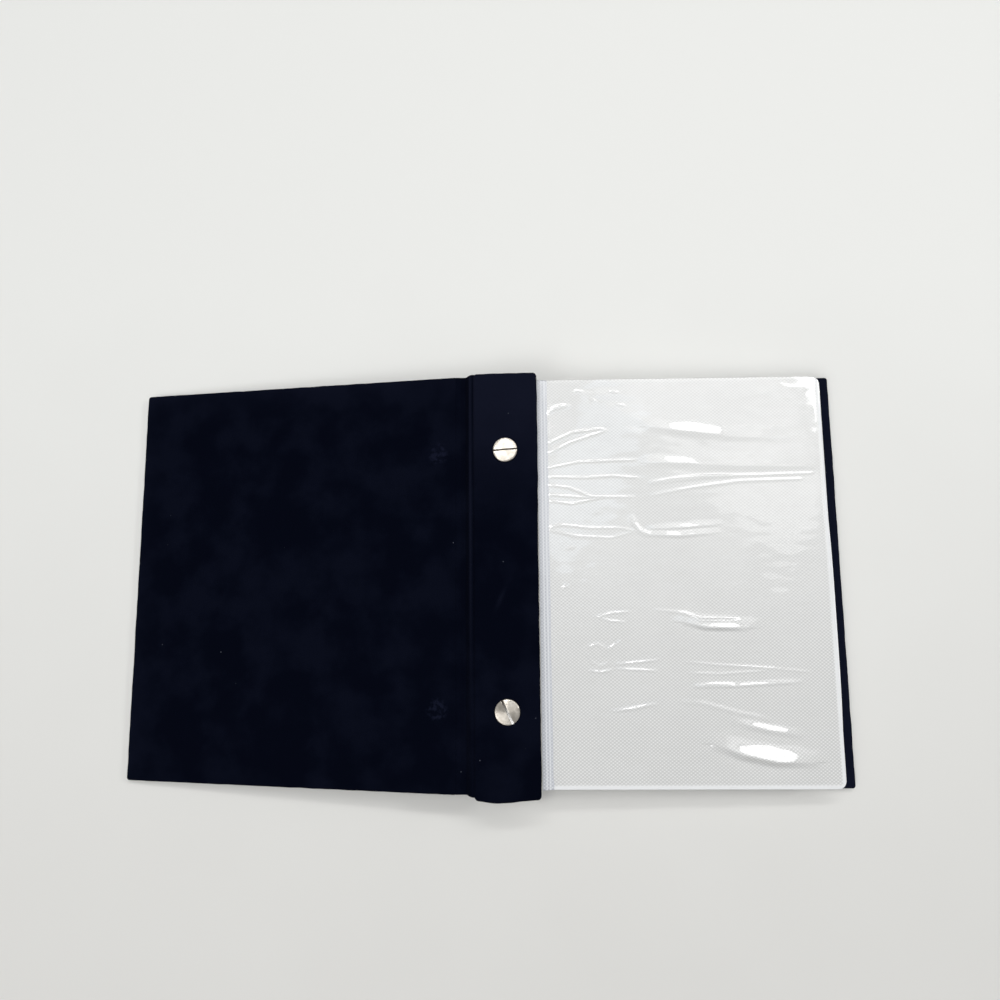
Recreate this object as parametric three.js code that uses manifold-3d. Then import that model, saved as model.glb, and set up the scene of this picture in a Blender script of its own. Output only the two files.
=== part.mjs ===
// A post-bound photo album with velvet covers and clear pocket leaves, lying open on its back cover.
// The frame is in millimetres: X runs across the spine towards the fore edge, Y along the spine, Z up.
// The origin is under the middle of the closed album, on the back cover's outer face.
import * as THREE from "three";
import { mergeVertices } from "three/addons/utils/BufferGeometryUtils.js";
import Module from "manifold-3d";

const wasm = await Module();
wasm.setup();

// Covers: a board wrapped in velvet, with a velvet lining on its inner face
const coverWidth = 138;
const coverSquare = 2.25;
const boardThickness = 2.2;
const velvetThickness = 0.5;
const glueGap = 0.1;
const turnIn = 3;
const coverCorner = 1.2;
const edgeRound = 0.35;

// Binding strips: the narrow wrapped boards that clamp the leaves, one hinged to each cover
const stripWidth = 25;
const stripBoardThickness = 1.8;
const stripCorner = 1.6;
const spineSetback = 4.8;

// Cloth hinges between a cover and its strip
const clothThickness = 0.8;
const clothShort = 0.2;
const clothGap = 0.35;
const openSpan = 6.8;
const openEdgeHeight = 18.3;
const backClothBulge = 3.2;

// Posts and slotted screws
const postInset = 28.55;
const barrelRadius = 2.6;
const boreRadius = 2;
const flangeRadius = 5;
const flangeThickness = 1.2;
const barrelStop = 1;
const postHoleClearance = 0.2;
const underFlange = 0.3;
const screwHeadRadius = 4.7;
const screwHeadHeight = 1.2;
const screwDome = 0.25;
const shankRadius = 1.85;
const shankLength = 6;
const slotWidth = 0.9;
const slotDepth = 0.55;
const upperSlotAngle = 3.6;
const lowerSlotAngle = -64;

// Leaves: a card stub on the posts, a film tab that bends, and a pocket of two films round a paper insert
const leafCount = 8;
const leafHeight = 155.5;
const pocketWidth = 107.2;
const pocketCorner = 3;
const filmThickness = 0.2;
const insertThickness = 0.3;
const insertMargin = 2.5;
const pocketClearance = 0.1;
const stubThickness = 1.24;
const stubGap = 0.1;
const tabThickness = 0.3;
const tabWidth = 3.5;
const tabDrop = 1.5;
const foldClearance = 0.3;
const foreEdgeLift = 0.3;
const foreEdgeGap = 0.165;

// Sizes that follow. The covers stand a square beyond the leaves, and the posts keep to the leaves' ends.
const coverHeight = leafHeight + 2 * coverSquare;
const postSpacing = leafHeight - 2 * postInset;
const coverThickness = boardThickness + 2 * (velvetThickness + glueGap);
const stripThickness = stripBoardThickness + 2 * (velvetThickness + glueGap);
const stripOuterX = -(coverWidth + spineSetback) / 2;
const stripInnerX = stripOuterX + stripWidth;
const postX = stripOuterX + stripWidth / 2;
const holeRadius = barrelRadius + postHoleClearance;
const backStripZ = coverThickness + underFlange + flangeThickness;
const stubPitch = stubThickness + stubGap;
const firstStubZ = backStripZ + stripThickness + stubGap;
const frontStripZ = firstStubZ + leafCount * stubPitch;
const frontStripTop = frontStripZ + stripThickness;
const pocketThickness = 2 * (filmThickness + pocketClearance) + insertThickness;
const foreEdgePitch = pocketThickness + foreEdgeGap;

const velvetColour = 0x0a0d1a;
const boardColour = 0x8b8577;
const filmColour = 0xe6e8e8;
const paperColour = 0xf4f3ee;
const cardColour = 0xdedcd6;
const nickelColour = 0xbdb6aa;

const materialKinds = {
  velvet: () => new THREE.MeshStandardMaterial({ color: velvetColour, roughness: 0.95, metalness: 0 }),
  greyboard: () => new THREE.MeshStandardMaterial({ color: boardColour, roughness: 0.9, metalness: 0 }),
  film: () =>
    new THREE.MeshStandardMaterial({
      color: filmColour,
      roughness: 0.25,
      metalness: 0,
      transparent: true,
      opacity: 0.6,
    }),
  paper: () => new THREE.MeshStandardMaterial({ color: paperColour, roughness: 0.85, metalness: 0 }),
  card: () => new THREE.MeshStandardMaterial({ color: cardColour, roughness: 0.9, metalness: 0 }),
  nickel: () => new THREE.MeshStandardMaterial({ color: nickelColour, roughness: 0.3, metalness: 1 }),
};

// Solids and meshes

function solidFrom(geometry) {
  const bare = geometry.clone();
  bare.deleteAttribute("normal");
  bare.deleteAttribute("uv");
  const merged = mergeVertices(bare, 1e-4);
  return new wasm.Manifold(
    new wasm.Mesh({
      numProp: 3,
      vertProperties: merged.attributes.position.array,
      triVerts: new Uint32Array(merged.index.array),
    }),
  );
}

function geometryFrom(solid) {
  const mesh = solid.getMesh();
  const geometry = new THREE.BufferGeometry();
  geometry.setAttribute("position", new THREE.BufferAttribute(mesh.vertProperties, 3));
  geometry.setIndex(new THREE.BufferAttribute(mesh.triVerts, 1));
  const flat = geometry.toNonIndexed();
  flat.computeVertexNormals();
  return flat;
}

function named(name, kind, geometry) {
  const mesh = new THREE.Mesh(geometry, materialKinds[kind]());
  mesh.name = name;
  return mesh;
}

// The outline of a sheet, with one radius for its corners at the low X end and one for the high X end
function sheetOutline(lowX, highX, halfY, lowRadius, highRadius) {
  const shape = new THREE.Shape();
  shape.moveTo(lowX + lowRadius, -halfY);
  shape.lineTo(highX - highRadius, -halfY);
  if (highRadius > 0) shape.absarc(highX - highRadius, -halfY + highRadius, highRadius, -Math.PI / 2, 0, false);
  shape.lineTo(highX, halfY - highRadius);
  if (highRadius > 0) shape.absarc(highX - highRadius, halfY - highRadius, highRadius, 0, Math.PI / 2, false);
  shape.lineTo(lowX + lowRadius, halfY);
  if (lowRadius > 0) shape.absarc(lowX + lowRadius, halfY - lowRadius, lowRadius, Math.PI / 2, Math.PI, false);
  shape.lineTo(lowX, -halfY + lowRadius);
  if (lowRadius > 0) shape.absarc(lowX + lowRadius, -halfY + lowRadius, lowRadius, Math.PI, 1.5 * Math.PI, false);
  return shape;
}

function punched(shape, holes, radius) {
  for (const [x, y] of holes) {
    const hole = new THREE.Path();
    hole.absarc(x, y, radius, 0, 2 * Math.PI, true);
    shape.holes.push(hole);
  }
  return shape;
}

function extruded(shape, lowZ, highZ, curveSegments = 4) {
  const geometry = new THREE.ExtrudeGeometry(shape, {
    depth: highZ - lowZ,
    bevelEnabled: false,
    curveSegments,
  });
  return geometry.translate(0, 0, lowZ);
}

// A slab with softly rounded edges all round, where the cloth turns over the board
function softSlab(width, halfY, thickness, cornerRadius) {
  const shape = sheetOutline(edgeRound, width - edgeRound, halfY - edgeRound, cornerRadius, cornerRadius);
  const geometry = new THREE.ExtrudeGeometry(shape, {
    depth: thickness - 2 * edgeRound,
    bevelEnabled: true,
    bevelThickness: edgeRound,
    bevelSize: edgeRound,
    bevelSegments: 2,
    curveSegments: 4,
  });
  return geometry.translate(0, 0, edgeRound);
}

// A board in its velvet: X runs from 0 at the spine side, Z from 0 at the outer face to the inner face.
// The wrap covers the outer face and the edges and turns in over the inner face, where the lining fills the rest.
function wrappedBoard(name, width, core, cornerRadius, holes) {
  const halfY = coverHeight / 2;
  const thickness = core + 2 * (velvetThickness + glueGap);
  const boardInset = velvetThickness + glueGap;
  const liningInset = turnIn + glueGap;
  const floor = velvetThickness;
  const roof = thickness - velvetThickness;
  const drills = holes.map(([x, y]) =>
    solidFrom(
      new THREE.CylinderGeometry(holeRadius, holeRadius, 3 * thickness, 24)
        .rotateX(Math.PI / 2)
        .translate(x, y, 0),
    ),
  );
  let wrap = solidFrom(softSlab(width, halfY, thickness, cornerRadius));
  wrap = wrap.subtract(
    solidFrom(extruded(sheetOutline(floor, width - floor, halfY - floor, 0, 0), floor, roof)),
  );
  wrap = wrap.subtract(
    solidFrom(
      extruded(sheetOutline(turnIn, width - turnIn, halfY - turnIn, 0, 0), floor + glueGap, 2 * thickness),
    ),
  );
  for (const drill of drills) wrap = wrap.subtract(drill);
  const board = punched(
    sheetOutline(boardInset, width - boardInset, halfY - boardInset, 0, 0),
    holes,
    holeRadius,
  );
  const lining = punched(
    sheetOutline(liningInset, width - liningInset, halfY - liningInset, 0, 0),
    holes,
    holeRadius,
  );
  const group = new THREE.Group();
  group.add(
    named(`${name}_velvet`, "velvet", geometryFrom(wrap)),
    named(`${name}_board`, "greyboard", extruded(board, floor + glueGap, roof - glueGap, 6)),
    named(`${name}_lining`, "velvet", extruded(lining, roof, thickness, 6)),
  );
  return group;
}

// A strip of cloth along the spine, as a curve in the X-Z plane given a thickness
function clothStrip(name, points) {
  const curve = new THREE.CatmullRomCurve3(points.map(([x, z]) => new THREE.Vector3(x, z, 0)));
  const steps = 12;
  const left = [];
  const right = [];
  for (let i = 0; i <= steps; i += 1) {
    const at = curve.getPoint(i / steps);
    const along = curve.getTangent(i / steps);
    const across = new THREE.Vector2(-along.y, along.x).multiplyScalar(clothThickness / 2);
    left.push(new THREE.Vector2(at.x + across.x, at.y + across.y));
    right.unshift(new THREE.Vector2(at.x - across.x, at.y - across.y));
  }
  const halfY = coverHeight / 2 - clothShort;
  const geometry = new THREE.ExtrudeGeometry(new THREE.Shape([...left, ...right]), {
    depth: 2 * halfY,
    bevelEnabled: false,
  });
  geometry.translate(0, 0, -halfY).rotateX(Math.PI / 2);
  return named(name, "velvet", geometry);
}

// Covers

const postHoles = [postSpacing / 2, -postSpacing / 2].map((y) => [stripWidth / 2, y]);

function backCover() {
  const group = wrappedBoard("back_cover", coverWidth, boardThickness, coverCorner, []);
  group.position.x = stripOuterX + spineSetback;
  return group;
}

// The open front cover leans from its hinge edge down to the table, so its slope follows from that edge's height.
const openSlope =
  Math.asin(openEdgeHeight / Math.hypot(coverWidth, coverThickness)) - Math.atan(coverThickness / coverWidth);
const openEdgeX = stripOuterX - openSpan;

function frontCover() {
  const group = wrappedBoard("front_cover", coverWidth, boardThickness, coverCorner, []);
  group.rotation.set(0, -openSlope, Math.PI);
  group.position.set(
    openEdgeX + coverThickness * Math.sin(openSlope),
    0,
    openEdgeHeight - coverThickness * Math.cos(openSlope),
  );
  return group;
}

function frontHingeCloth() {
  const atStrip = [stripOuterX - clothGap, frontStripZ + clothThickness];
  const atBoard = [openEdgeX + clothGap, openEdgeHeight - clothThickness / 2];
  const middle = [(atStrip[0] + atBoard[0]) / 2, (atStrip[1] + atBoard[1]) / 2 - clothThickness / 2];
  return clothStrip("front_hinge_cloth", [atStrip, middle, atBoard]);
}

// The closed back hinge: the cloth leaves the board's edge, runs round the spine and back in to the strip.
function backHingeCloth() {
  const boardEdge = stripOuterX + spineSetback;
  const stripMiddle = backStripZ + stripThickness / 2;
  return clothStrip("back_hinge_cloth", [
    [boardEdge - clothGap, coverThickness / 2],
    [stripOuterX, coverThickness / 2],
    [stripOuterX - backClothBulge, (coverThickness / 2 + stripMiddle) / 2],
    [stripOuterX - backClothBulge / 2, stripMiddle - clothThickness / 4],
    [stripOuterX - clothGap, stripMiddle],
  ]);
}

// Binding strips: one under the leaves and one over them, with the posts through both

function strip(name, z) {
  const group = wrappedBoard(name, stripWidth, stripBoardThickness, stripCorner, postHoles);
  group.position.set(stripOuterX, 0, z);
  return group;
}

// Posts and screws

function post(name, y) {
  const flangeZ = backStripZ - flangeThickness;
  const length = frontStripTop - barrelStop - flangeZ;
  const profile = [
    [0, 0],
    [flangeRadius - 0.3, 0],
    [flangeRadius, 0.3],
    [flangeRadius, flangeThickness],
    [barrelRadius, flangeThickness],
    [barrelRadius, length],
    [boreRadius, length],
    [boreRadius, flangeThickness],
    [0, flangeThickness],
  ];
  const mesh = named(name, "nickel", lathed(profile, 24));
  mesh.position.set(postX, y, flangeZ);
  return mesh;
}

function lathed(profile, segments) {
  const points = profile.map(([r, z]) => new THREE.Vector2(r, z));
  return new THREE.LatheGeometry(points, segments).rotateX(Math.PI / 2);
}

function screw(name, y, slotAngle) {
  const crown = 4;
  const profile = [
    [0, -shankLength],
    [shankRadius - 0.4, -shankLength],
    [shankRadius, -shankLength + 0.4],
    [shankRadius, 0],
    [screwHeadRadius - 0.15, 0],
    [screwHeadRadius, 0.15],
    [screwHeadRadius, screwHeadHeight - screwDome - 0.2],
  ];
  for (let i = 0; i < crown; i += 1) {
    const share = i / crown;
    profile.push([(screwHeadRadius - 0.2) * (1 - share), screwHeadHeight - screwDome * (1 - share) ** 2]);
  }
  profile.push([0, screwHeadHeight]);
  const slot = new THREE.BoxGeometry(3 * screwHeadRadius, slotWidth, 2 * slotDepth)
    .rotateZ(THREE.MathUtils.degToRad(slotAngle))
    .translate(0, 0, screwHeadHeight);
  const solid = solidFrom(lathed(profile, 36)).subtract(solidFrom(slot));
  const mesh = named(name, "nickel", geometryFrom(solid));
  mesh.position.set(postX, y, frontStripTop);
  return mesh;
}

// Leaves, numbered from the top. Each pocket slopes from its fold down to the stacked fore edges.

function leaf(number) {
  const name = `leaf_${String(number).padStart(2, "0")}`;
  const fromBottom = leafCount - number;
  const stubZ = firstStubZ + fromBottom * stubPitch;
  const stubTop = stubZ + stubThickness;
  const foldX = stripInnerX + foldClearance + tabWidth;
  const foldTop = stubTop - tabDrop;
  const foreTop = coverThickness + foreEdgeLift + pocketThickness + fromBottom * foreEdgePitch;
  const halfY = leafHeight / 2;
  const group = new THREE.Group();

  const stub = punched(
    sheetOutline(0, stripWidth, halfY, 0, 0),
    postHoles,
    holeRadius,
  );
  const stubMesh = named(`${name}_stub`, "card", extruded(stub, 0, stubThickness, 6));
  stubMesh.position.set(stripOuterX, 0, stubZ);

  const tabLength = Math.hypot(tabWidth, tabDrop);
  const tab = named(
    `${name}_tab`,
    "film",
    extruded(sheetOutline(0, tabLength - foldClearance, halfY, 0, 0), -tabThickness, 0),
  );
  tab.position.set(stripInnerX + foldClearance, 0, stubTop);
  tab.rotation.y = Math.atan(tabDrop / tabWidth);

  const pocket = new THREE.Group();
  const backTop = filmThickness - pocketThickness;
  const insertLow = backTop + pocketClearance;
  pocket.add(
    named(
      `${name}_front_film`,
      "film",
      extruded(sheetOutline(0, pocketWidth, halfY, 0, pocketCorner), -filmThickness, 0),
    ),
    named(
      `${name}_insert`,
      "paper",
      extruded(
        sheetOutline(insertMargin, pocketWidth - insertMargin, halfY - insertMargin, 0, 0),
        insertLow,
        insertLow + insertThickness,
      ),
    ),
    named(
      `${name}_back_film`,
      "film",
      extruded(sheetOutline(0, pocketWidth, halfY, 0, pocketCorner), -pocketThickness, backTop),
    ),
  );
  pocket.position.set(foldX, 0, foldTop);
  pocket.rotation.y = Math.asin((foldTop - foreTop) / pocketWidth);
  group.add(stubMesh, tab, pocket);
  return group;
}

const album = new THREE.Group();
album.add(
  backCover(),
  backHingeCloth(),
  strip("back_strip", backStripZ),
  strip("front_strip", frontStripZ),
  frontHingeCloth(),
  frontCover(),
  post("upper_post", postSpacing / 2),
  post("lower_post", -postSpacing / 2),
  screw("upper_screw", postSpacing / 2, upperSlotAngle),
  screw("lower_screw", -postSpacing / 2, lowerSlotAngle),
);
for (let number = 1; number <= leafCount; number += 1) album.add(leaf(number));

export default album;
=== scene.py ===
import math

import bmesh
import bpy
import numpy as np
from mathutils import Matrix, Vector, noise


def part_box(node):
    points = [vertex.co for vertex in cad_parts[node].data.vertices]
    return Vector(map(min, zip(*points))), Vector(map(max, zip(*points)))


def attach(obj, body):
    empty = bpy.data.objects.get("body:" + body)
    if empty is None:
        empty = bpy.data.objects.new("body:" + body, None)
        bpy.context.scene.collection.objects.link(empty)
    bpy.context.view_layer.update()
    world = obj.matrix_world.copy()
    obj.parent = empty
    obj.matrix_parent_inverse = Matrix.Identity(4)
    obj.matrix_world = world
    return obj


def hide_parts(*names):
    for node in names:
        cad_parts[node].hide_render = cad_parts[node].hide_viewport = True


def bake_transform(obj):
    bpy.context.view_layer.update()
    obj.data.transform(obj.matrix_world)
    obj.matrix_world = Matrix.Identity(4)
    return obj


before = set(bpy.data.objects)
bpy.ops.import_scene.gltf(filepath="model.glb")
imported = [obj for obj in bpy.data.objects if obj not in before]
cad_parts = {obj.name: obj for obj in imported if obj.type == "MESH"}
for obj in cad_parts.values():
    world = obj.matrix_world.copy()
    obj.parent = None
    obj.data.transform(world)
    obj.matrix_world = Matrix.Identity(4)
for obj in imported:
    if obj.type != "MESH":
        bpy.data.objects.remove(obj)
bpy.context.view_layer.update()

# Lengths below are in millimetres, and MM turns them into Blender's metres
MM = 0.001

# The camera of the photograph, fitted to the album's corners and screws
CAMERA_PLACE = Vector((-42.71, -3.97, 283.09))
CAMERA_LOOK = Vector((-0.06939, 0.12742, -0.98942))
CAMERA_UP = Vector((0.01712, 0.99182, 0.12653))
CAMERA_LENS = 24.775
SENSOR = 36.0
PHOTO = 1000

# Velvet covers and strips
COVER_EDGE = 1.0
COVER_CORNER = 1.2
STRIP_CORNER = 1.6
PILE_LIFT = 0.05
UNEVEN = 0.07
RAGGED = 0.16
FOOT_OVERHANG = 1.35
FOOT_LEVEL = 0.3
FOOT_MIDDLE = 9
FOOT_SPREAD = 9.5
FORE_DRAWN_IN = 0.34
FORE_STARTS = 44
FORE_RUN = 30
# How fast the overhang and the drawn-in edge die away inwards, as a power
EDGE_POWER = 6
STROKE_X = 10.3
STROKE_Y = -7.8
STROKE_WAY = (0.91, 0.41)
STROKE_LENGTH = 4
STROKE_WIDTH = 0.8
# How much lighter the pile is painted, a painted sheen, along the finger stroke and towards the head, and
# over what length
STROKE_SHEEN = 0.4
HEAD_SHEEN = 0.7
HEAD_SHEEN_STARTS = 18
HEAD_SHEEN_RUN = 50
# How much lighter the pile is painted all over the back cover, and, as painted sheen, along the front cover's
# head and fore edge
BACK_COVER_LIGHTER = 0.7
COVER_HEAD_SHEEN = 0.32
COVER_HEAD_REACH = 4.5
COVER_EDGE_SHEEN = 0.2
COVER_EDGE_REACH = 3.5
CLOTH_HINGE = 0.9
PRESS_DEPTH = 0.18
PRESS_SHARE = 0.8
PRESS_SOFTNESS = 0.35
SCREW_SINK = 0.3
SCREW_SINK_REACH = 2.2
# The finer grid round each screw or its mark: its reach and its number of places
MARK_REACH = 7
MARK_PLACES = 29
NARROWEST_STEP = 0.04

# Screws
SCREW_HEAD_RADIUS = 4.7
SCREW_HEAD_HEIGHT = 1.2
SCREW_SHANK_RADIUS = 1.85
SCREW_TIP_RADIUS = 1.45
SCREW_DOME = 0.25
SCREW_DOME_POWER = 2.2
SCREW_PROFILE_STEPS = 10
SCREW_AROUND = 96
SLOT_DEPTH = 0.55
# Each screw's slot: its angle, its half width, and up to where along it the slot is painted in shade, with a
# painted highlight a little past that
SLOTS = {"upper_screw": (3.6, 0.3, 1.1), "lower_screw": (-64, 0.42, -0.02)}

# The leaves. TAB_LINES are the places along X of two pressed lines in the tabs.
LEAF_COUNT = 8
LEAF_CORNER = 3
TAB_LINES = (-44.75, -43.5)
TAB_LINE_WIDTH = 0.22
TAB_THICKNESS = 0.24
BEND_THICKNESS = 0.26
BEND_RIPPLE = 0.06
LINE_STRENGTH = 0.4
BACK_FILM_DEPTH = 0.62
BACK_FILM = 0.2
PAPER_MARGIN = 2.2
PAPER_HEAD_MARGIN = 1
PAPER_TOP = 0.22
PAPER_FOOT = 0.5
UNDER_STEP = 3.0
UNDER_THINS = 3.5

# The top leaf's film
FILM = 0.14
FORE_EDGE_BOW = 0.8
PILLOW = 0.35
PILLOW_REACH = 7.0
FOLD_OVERLAP = 0.8
SPINE_WELD = 2.2
WELD_IN = 1.5
WELD_GROOVE = 0.03
GROOVE_WIDTH = 0.3
WELD_BEAD = 0.07
BEAD_WIDTH = 0.5
# At its fold, where no weld holds it, the film stands as it does this far from a weld
FOLD_SLACK = 5.0
# How far from the fold the waves and swellings reach their full height
CALM_REACH = 12.0
# How sharply a fold's even slope ends at its foot
SLOPE_SHARPNESS = 8.0

# Creases in the top film: the photograph's pixels along each ridge, its height and its half width
CREASES = {
    "blob_by_strip": ([(549, 411), (556, 408), (567, 406)], 0.28, 1.0),
    "loop_upper": ([(549, 443), (572, 433), (600, 429), (605, 431)], 0.26, 0.5),
    "loop_lower": ([(549, 453), (570, 443), (590, 436), (605, 431)], 0.22, 0.5),
    "line_468": ([(549, 468), (580, 462), (610, 461), (634, 460)], 0.26, 0.45),
    "line_477": ([(547, 477), (585, 478), (612, 476), (637, 478)], 0.26, 0.45),
    "fork_upper": ([(547, 485), (570, 488), (592, 497), (632, 497)], 0.24, 0.45),
    "fork_middle": ([(549, 495), (565, 496), (590, 498)], 0.2, 0.4),
    "fork_lower": ([(549, 501), (572, 504), (605, 497)], 0.22, 0.4),
    "lens_upper": ([(549, 528), (562, 525), (590, 528), (620, 528), (634, 531)], 0.24, 0.45),
    "lens_lower": ([(550, 530), (575, 536), (612, 538), (632, 532)], 0.24, 0.45),
    "right_line_1": ([(652, 482), (675, 478), (700, 476), (760, 475), (812, 473)], 0.24, 0.6),
    "right_line_2": ([(654, 495), (690, 488), (740, 481), (800, 479)], 0.24, 0.6),
    "hook_curl": ([(632, 517), (634, 524), (640, 531), (648, 534)], 0.4, 0.8),
    "fish_upper": ([(598, 617), (612, 613), (628, 612)], 0.3, 0.45),
    "fish_lower": ([(598, 617), (610, 621), (624, 622)], 0.3, 0.45),
    "fish_right_upper": ([(656, 610), (685, 613), (700, 620), (738, 620)], 0.26, 0.6),
    "curl_top": ([(590, 647), (597, 644), (604, 648), (603, 655)], 0.26, 0.6),
    "curl_low": ([(589, 655), (592, 662), (600, 666), (607, 664)], 0.26, 0.6),
    "curl_tail": ([(606, 652), (613, 646), (621, 641)], 0.22, 0.5),
    "low_line_1": ([(618, 664), (640, 662), (658, 660)], 0.33, 0.5),
    "low_line_2": ([(618, 669), (640, 670), (656, 671)], 0.33, 0.5),
    "low_line_3": ([(590, 671), (602, 672), (612, 670)], 0.3, 0.45),
    "low_right_1": ([(686, 662), (720, 665), (770, 668), (808, 672)], 0.24, 0.5),
    "low_right_2": ([(690, 673), (720, 674), (765, 671)], 0.24, 0.5),
    "low_right_3": ([(697, 686), (712, 684), (730, 684)], 0.28, 0.8),
    "dash": ([(614, 711), (630, 709), (655, 704)], 0.4, 0.6),
    "sweep": ([(682, 702), (702, 703), (735, 712), (768, 719)], 0.3, 0.9),
    "speck_1": ([(575, 391), (581, 392)], 0.2, 0.4),
    "speck_2": ([(610, 392), (617, 393)], 0.2, 0.4),
    "speck_3": ([(591, 399), (595, 402)], 0.2, 0.4),
    "speck_4": ([(618, 405), (624, 406)], 0.2, 0.4),
    "dimple": ([(568, 549), (573, 547)], 0.2, 0.4),
    "rub": ([(563, 588), (568, 586)], 0.2, 0.4),
}
# Broad folds of the top film: the crest's pixels, height, and half width above and below it in the picture
FOLDS = {
    "top_right": ([(730, 400), (770, 392), (812, 384)], 0.1, 4.0, 2.5),
    "band_1": ([(649, 427), (678, 431), (724, 435)], 0.68, 4.0, 2.2),
    "band_1_tail": ([(700, 434), (740, 437), (808, 438)], 0.25, 5.0, 2.4),
    "band_2": ([(648, 463), (670, 463), (702, 464)], 0.6, 3.1, 2.0),
    "band_2_tail": ([(680, 464), (740, 466), (812, 466)], 0.42, 5.4, 2.4),
    "band_3": ([(652, 484), (676, 481), (702, 478), (730, 477)], 0.27, 1.4, 0.8),
    "hook_low": ([(642, 535), (680, 536), (714, 533)], 0.58, 2.4, 1.0),
    "hook_high": ([(652, 529), (680, 528), (716, 525)], 0.5, 2.1, 0.7),
    "fish": ([(684, 622), (705, 627), (746, 628)], 1.5, 4.5, 1.4),
    "fan": ([(716, 744), (742, 754), (776, 761), (814, 762)], 2.35, 5.6, 2.4),
    "fan_top": ([(735, 722), (768, 730), (800, 735)], 0.9, 2.4, 1.8),
    "low_fold": ([(697, 687), (735, 686), (800, 682)], 0.52, 1.5, 0.9),
}
# Broad soft swellings of the film: centre pixel, half sizes along X and Y, height
SWELLINGS = {
    "upper_left": ((600, 420), 18, 14, 0.3),
    "lower_left": ((580, 720), 16, 12, 0.3),
}

# Embossed dots of the film. They show more in clouds, and towards the foot between two places along Y.
DOT_PITCH_X = 1.5
DOT_PITCH_Y = 1.22
DOTS_FADE = (45, -80)
DOTS_LOWER = 0.8
DOTS_EVERYWHERE = 0.08
DOTS_CLOUDY = 0.15

# Colours
VELVET = (0.0017, 0.0024, 0.0062)
VELVET_LIGHT = (0.0032, 0.0042, 0.0098)
# The colour of the pile's painted sheen
VELVET_SHEEN = (0.0075, 0.009, 0.019)
VELVET_PRESSED = (0.0065, 0.008, 0.018)
FILM_LIGHT = (0.985, 0.985, 0.97)
FILM_DARK = (0.66, 0.66, 0.65)
TAB_LIGHT = (0.68, 0.695, 0.72)
TAB_DARK = (0.46, 0.475, 0.51)
FILM_WELD = (0.90, 0.91, 0.915)
PAPER = (0.94, 0.94, 0.92)
CARD = (0.66, 0.65, 0.61)
LINT = (0.05, 0.055, 0.07)
GREYBOARD = (0.26, 0.24, 0.2)
NICKEL = (0.30, 0.275, 0.24)
NICKEL_WORN = (0.44, 0.41, 0.365)
# Painted highlight and painted shade for the screw slots
NICKEL_SLOT_HIGHLIGHT = (0.95, 0.93, 0.9)
NICKEL_SLOT_SHADE = (0.035, 0.03, 0.025)
# The table's colours near and far: darker near and paler far, a painted fall-off of the light
TABLE_NEAR_SHADED = (0.645, 0.635, 0.61)
TABLE_FAR_LIT = (0.775, 0.775, 0.75)
SKY_TINT = (0.97, 0.985, 1.0)
WHITE = (1, 1, 1)
BLUISH = (0.74, 0.86, 1.0)

# The room. The table is painted paler between two places along Y, a painted fall-off of the light, and its
# half size is in metres.
TABLE_HALF = 3.0
TABLE_LIGHT_FALLOFF = (-260, 220)
WALL = 0.85
HORIZON = 0.07
ZENITH = 0.44
# Lamps that face the album: place in metres, size along X and Y, radiance and colour
LAMPS = {
    "window_left": ((-0.06, 0.98, 1.45), (0.68, 0.13), 15.5, WHITE),
    "window_right": ((0.72, 0.85, 1.45), (1.0, 0.28), 6.6, WHITE),
    "ceiling": ((0.62, 0.55, 1.75), (1.1, 0.36), 0.96, WHITE),
    "sky": ((0.22, 0.34, 1.9), (0.28, 0.62), 1.02, BLUISH),
    "overhead": ((-0.30, 0.42, 1.75), (0.4, 0.3), 15.0, WHITE),
    "front_left": ((-0.85, -0.8, 1.65), (1.2, 0.8), 4.6, WHITE),
    "side": ((1.35, 0.42, 1.05), (0.18, 0.18), 46.0, WHITE),
}


# Camera

def camera_axes():
    back = -CAMERA_LOOK.normalized()
    right = CAMERA_UP.cross(back).normalized()
    up = back.cross(right)
    return right, up, back


def photo_ray(pixel):
    """The direction, in the row frame, in which the photograph sees a pixel."""
    right, up, back = camera_axes()
    focal = CAMERA_LENS / SENSOR * PHOTO
    x = (pixel[0] - PHOTO / 2) / focal
    y = (PHOTO / 2 - pixel[1]) / focal
    return right * x + up * y - back


def add_camera():
    right, up, back = camera_axes()
    data = bpy.data.cameras.new("camera")
    data.lens = CAMERA_LENS
    data.sensor_width = SENSOR
    data.clip_start = 0.01
    camera = bpy.data.objects.new("camera", data)
    turn = Matrix((right, up, back)).transposed().to_4x4()
    camera.matrix_world = Matrix.Translation(CAMERA_PLACE * MM) @ turn
    bpy.context.scene.collection.objects.link(camera)
    bpy.context.scene.camera = camera


# Places read from the frame, in millimetres

def box(node):
    low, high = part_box(node)
    return low / MM, high / MM


def corner(node, towards):
    """The node's vertex that lies furthest in a direction, with Y left out."""
    way = Vector((towards[0], 0, towards[1]))
    best = max(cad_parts[node].data.vertices, key=lambda v: v.co.dot(way))
    return Vector((best.co.x, 0, best.co.z)) / MM


# Mesh building: every function works in millimetres and makes one object in metres

def new_object(name, points, faces, smooth=True):
    mesh = bpy.data.meshes.new(name)
    mesh.from_pydata([tuple(p) for p in np.asarray(points) * MM], [], faces)
    mesh.validate()
    mesh.update()
    for polygon in mesh.polygons:
        polygon.use_smooth = smooth
    piece = bpy.data.objects.new(name, mesh)
    bpy.context.scene.collection.objects.link(piece)
    return piece


def grid_faces(count_u, count_v, offset=0, flip=False):
    faces = []
    for i in range(count_u - 1):
        for j in range(count_v - 1):
            a = offset + i * count_v + j
            face = (a, a + count_v, a + count_v + 1, a + 1)
            faces.append(face[::-1] if flip else face)
    return faces


def rim_indices(count_u, count_v):
    """The grid's outer loop, counter-clockwise."""
    low = [i * count_v for i in range(count_u)]
    high = [(count_u - 1) * count_v + j for j in range(1, count_v)]
    back = [i * count_v + count_v - 1 for i in range(count_u - 2, -1, -1)]
    down = [j for j in range(count_v - 2, 0, -1)]
    return low + high + back + down


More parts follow.
